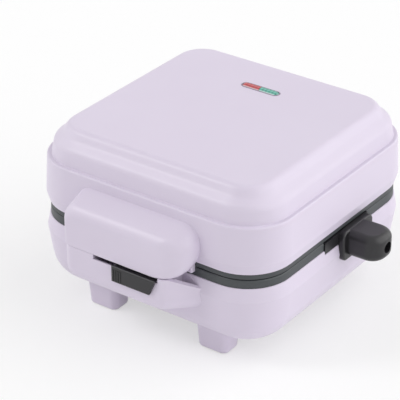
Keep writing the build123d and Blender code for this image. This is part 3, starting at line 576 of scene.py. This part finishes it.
# Terminal block and lamp holder: injection-moulded natural nylon, fixed inside the casing. It is
# milky and slightly waxy, with a shade that drifts over 4 mm.
natural_nylon, tree, shader = new_material("natural_nylon")
place = add(tree, "ShaderNodeTexCoord")
milk = add(
    tree,
    "ShaderNodeTexNoise",
    {"Vector": place.outputs["Object"], "Scale": 1 / (4 * MM), "Detail": 2.0},
)
tint = add(tree, "ShaderNodeMix", {"Factor": milk.outputs["Fac"]}, data_type="RGBA")
tint.inputs["A"].default_value = linear("#D9D5C7")
tint.inputs["B"].default_value = linear("#E4E1D6")
tree.links.new(tint.outputs["Result"], shader.inputs["Base Color"])
shader.inputs["Roughness"].default_value = 0.45
give_finish("terminal_block", natural_nylon)
give_finish("lamp_holder", natural_nylon)

# Thermostat: a dark phenolic case, pressed hot from powder. The powder leaves a brown mottle,
# 1.2 mm across, under a dull shine.
phenolic, tree, shader = new_material("brown_phenolic")
place = add(tree, "ShaderNodeTexCoord")
powder = add(
    tree,
    "ShaderNodeTexNoise",
    {"Vector": place.outputs["Object"], "Scale": 1 / (1.2 * MM), "Detail": 4.0},
)
tint = add(tree, "ShaderNodeMix", {"Factor": powder.outputs["Fac"]}, data_type="RGBA")
tint.inputs["A"].default_value = linear("#2B211C")
tint.inputs["B"].default_value = linear("#43342C")
tree.links.new(tint.outputs["Result"], shader.inputs["Base Color"])
shader.inputs["Roughness"].default_value = 0.4
give_finish("thermostat", phenolic)

# The latch's slider, which runs in the latch box, and the cord's outlet, which sits in the base's
# notch: black ABS, moulded satin, with soft highlights along its edges. Its grain is drawn at
# 0.8 mm, coarser than the mould leaves it, so that it shows.
black_abs, tree, shader = new_material("satin_black_abs")
place = add(tree, "ShaderNodeTexCoord")
grain = add(
    tree,
    "ShaderNodeTexNoise",
    {"Vector": place.outputs["Object"], "Scale": 1 / (0.8 * MM), "Detail": 3.0},
)
tint = add(tree, "ShaderNodeMix", {"Factor": grain.outputs["Fac"]}, data_type="RGBA")
tint.inputs["A"].default_value = linear("#19181B")
tint.inputs["B"].default_value = linear("#222125")
gloss = add(
    tree, "ShaderNodeMapRange", {"Value": grain.outputs["Fac"], "To Min": 0.30, "To Max": 0.42}
)
relief = add(
    tree,
    "ShaderNodeBump",
    {"Height": grain.outputs["Fac"], "Strength": 0.3, "Distance": 0.04 * MM},
)
tree.links.new(tint.outputs["Result"], shader.inputs["Base Color"])
tree.links.new(gloss.outputs["Result"], shader.inputs["Roughness"])
tree.links.new(relief.outputs["Normal"], shader.inputs["Normal"])
shader.inputs["IOR"].default_value = 1.53
give_finish("cord_outlet", black_abs)
give_finish("latch_slider", black_abs)

# Foot pads: black natural rubber, moulded and pressed into the soles of the feet. It is quite
# matt, and dusty in pores 1 mm apart.
foot_rubber, tree, shader = new_material("black_rubber")
place = add(tree, "ShaderNodeTexCoord")
pores = add(
    tree,
    "ShaderNodeTexNoise",
    {"Vector": place.outputs["Object"], "Scale": 1 / (1.0 * MM), "Detail": 4.0},
)
tint = add(tree, "ShaderNodeMix", {"Factor": pores.outputs["Fac"]}, data_type="RGBA")
tint.inputs["A"].default_value = linear("#1B1B1B")
tint.inputs["B"].default_value = linear("#2C2C2B")
tree.links.new(tint.outputs["Result"], shader.inputs["Base Color"])
shader.inputs["Roughness"].default_value = 0.8
give_finish("foot_pads", foot_rubber)

# Indicator lenses: tinted polycarbonate, polished, one red and one green. The tint is deep over
# the lamps, and a painted highlight gives a pale band along the front edge, fading out from y 48.3
# to 49.3 mm behind the frame's middle. The cells moulded inside show as faint bars 9 mm apart.
lens_highlight_y = (48.3 * MM, 49.3 * MM)
for name, hex_highlight, hex_dark, hex_light in (
    ("red_lens", "#F3D3D6", "#A81C27", "#C22F38"),
    ("green_lens", "#D9F1EC", "#2C8E7E", "#55B3A1"),
):
    lens_plastic, tree, shader = new_material(name + "_polycarbonate")
    place = add(tree, "ShaderNodeTexCoord")
    cells = add(
        tree,
        "ShaderNodeTexWave",
        {"Vector": place.outputs["Object"], "Scale": 1 / (9.0 * MM)},
        bands_direction="X",
    )
    tint = add(tree, "ShaderNodeMix", {"Factor": cells.outputs["Fac"]}, data_type="RGBA")
    tint.inputs["A"].default_value = linear(hex_dark)
    tint.inputs["B"].default_value = linear(hex_light)
    across = add(tree, "ShaderNodeSeparateXYZ", {"Vector": place.outputs["Object"]})
    # Painted highlight: the base colour turns pale along the lens's front edge.
    highlight_band = add(
        tree,
        "ShaderNodeMapRange",
        {"Value": across.outputs["Y"], "From Min": lens_highlight_y[0], "From Max": lens_highlight_y[1]},
        interpolation_type="SMOOTHSTEP",
    )
    highlighted = add(tree, "ShaderNodeMix", {"Factor": highlight_band.outputs["Result"]}, data_type="RGBA")
    highlighted.inputs["A"].default_value = linear(hex_highlight)
    tree.links.new(tint.outputs["Result"], highlighted.inputs["B"])
    tree.links.new(highlighted.outputs["Result"], shader.inputs["Base Color"])
    shader.inputs["Roughness"].default_value = 0.12
    shader.inputs["IOR"].default_value = 1.585
    shader.inputs["Coat Weight"].default_value = 0.6
    shader.inputs["Coat Roughness"].default_value = 0.05
    give_finish(name, lens_plastic)

# Bezel of the lenses: ABS in a greyer lilac than the lid, clipped into the lid's window. It has
# the same grain as the lid, drawn at 0.9 mm.
grey_abs, tree, shader = new_material("grey_lilac_abs")
place = add(tree, "ShaderNodeTexCoord")
grain = add(
    tree,
    "ShaderNodeTexNoise",
    {"Vector": place.outputs["Object"], "Scale": 1 / (0.9 * MM), "Detail": 3.0},
)
tint = add(tree, "ShaderNodeMix", {"Factor": grain.outputs["Fac"]}, data_type="RGBA")
tint.inputs["A"].default_value = linear("#8E8695")
tint.inputs["B"].default_value = linear("#9A92A1")
tree.links.new(tint.outputs["Result"], shader.inputs["Base Color"])
shader.inputs["Roughness"].default_value = 0.4
give_finish("lens_bezel", grey_abs)

# Indicator lamps: small tubes of drawn clear glass, held behind the window. Fire-polished, they
# are bright, with a haze that comes and goes over 3 mm.
lamp_glass, tree, shader = new_material("clear_lamp_glass")
place = add(tree, "ShaderNodeTexCoord")
haze = add(tree, "ShaderNodeTexNoise", {"Vector": place.outputs["Object"], "Scale": 1 / (3 * MM)})
gloss = add(
    tree, "ShaderNodeMapRange", {"Value": haze.outputs["Fac"], "To Min": 0.02, "To Max": 0.12}
)
tree.links.new(gloss.outputs["Result"], shader.inputs["Roughness"])
shader.inputs["Base Color"].default_value = linear("#F4F2EE")
shader.inputs["Transmission Weight"].default_value = 0.9
shader.inputs["IOR"].default_value = 1.47
give_finish("indicator_lamps", lamp_glass)

# Floor: a wide sweep of white paper, half glowing to the rays that are seen, so that it looks
# plain white and still takes the object's shadow.
floor_size, floor_glow = 14, 0.5
bpy.ops.mesh.primitive_plane_add(size=floor_size)
floor = bpy.context.object
floor.name = "floor"
sweep_paper, tree, shader = new_material("white_sweep_paper")
shader.inputs["Base Color"].default_value = linear("#FBFBFB")
shader.inputs["Roughness"].default_value = 0.9
shader.inputs["Specular IOR Level"].default_value = 0.0


def seen_rays(tree):
    """Gives 1 to rays that show a surface to the camera, straight, reflected or through glass."""
    rays = add(tree, "ShaderNodeLightPath")
    mirrored = add(
        tree,
        "ShaderNodeMath",
        {0: rays.outputs["Is Camera Ray"], 1: rays.outputs["Is Glossy Ray"]},
        operation="MAXIMUM",
    )
    return add(
        tree,
        "ShaderNodeMath",
        {0: mirrored.outputs["Value"], 1: rays.outputs["Is Transmission Ray"]},
        operation="MAXIMUM",
    )


share = add(
    tree,
    "ShaderNodeMath",
    {0: seen_rays(tree).outputs["Value"], 1: floor_glow},
    operation="MULTIPLY",
)
glow = add(tree, "ShaderNodeEmission", {"Color": linear("#FFFFFF"), "Strength": 1.0})
blend = add(
    tree,
    "ShaderNodeMixShader",
    {0: share.outputs["Value"], 1: shader.outputs["BSDF"], 2: glow.outputs["Emission"]},
)
tree.links.new(blend.outputs["Shader"], tree.nodes["Material Output"].inputs["Surface"])
floor.data.materials.append(sweep_paper)

# Studio walls: plain white all round. They light the object at about half their strength, and
# look fully white to the rays that are seen.
wall_light, wall_seen = 0.52, 1.0
world = bpy.data.worlds.new("studio")
bpy.context.scene.world = world
world.use_nodes = True
tree = world.node_tree
background = tree.nodes["Background"]
level = add(
    tree,
    "ShaderNodeMapRange",
    {"Value": seen_rays(tree).outputs["Value"], "To Min": wall_light, "To Max": wall_seen},
)
tree.links.new(level.outputs["Result"], background.inputs["Strength"])
background.inputs["Color"].default_value = linear("#FFFFFF")

# Studio lights: a strong wide soft box from the right and behind, a weaker one from the left, and
# a small one in front whose reflection runs along the rolled edges. Each is given with the place
# that it shines from, its width in degrees and its strength.
for name, spot, width, strength in (
    ("right_softbox", (0.80, 0.45, 0.40), 95.0, 2.1),
    ("left_softbox", (-0.85, -0.35, 0.40), 55.0, 0.6),
    ("edge_softbox", (-0.51, -0.49, 0.71), 16.0, 0.55),
):
    softbox = bpy.data.lights.new(name, "SUN")
    softbox.angle = math.radians(width)
    softbox.energy = strength
    stand = bpy.data.objects.new(name, softbox)
    stand.location = spot
    stand.rotation_euler = (-Vector(spot)).to_track_quat("-Z", "Y").to_euler()
    bpy.context.scene.collection.objects.link(stand)

# Camera: long lens, a little above the lid, turned to the front and the right side. The lens is in
# millimetres, and the place and the direction are in the frame's metres.
camera_data = bpy.data.cameras.new("camera")
camera_data.lens = 171.8
camera = bpy.data.objects.new("camera", camera_data)
camera.location = (0.6817, -0.9890, 0.7467)
camera.rotation_euler = Vector((-0.5104, 0.7076, -0.4886)).to_track_quat("-Z", "Y").to_euler()
bpy.context.scene.collection.objects.link(camera)
bpy.context.scene.camera = camera
bpy.context.scene.view_settings.view_transform = "Standard"
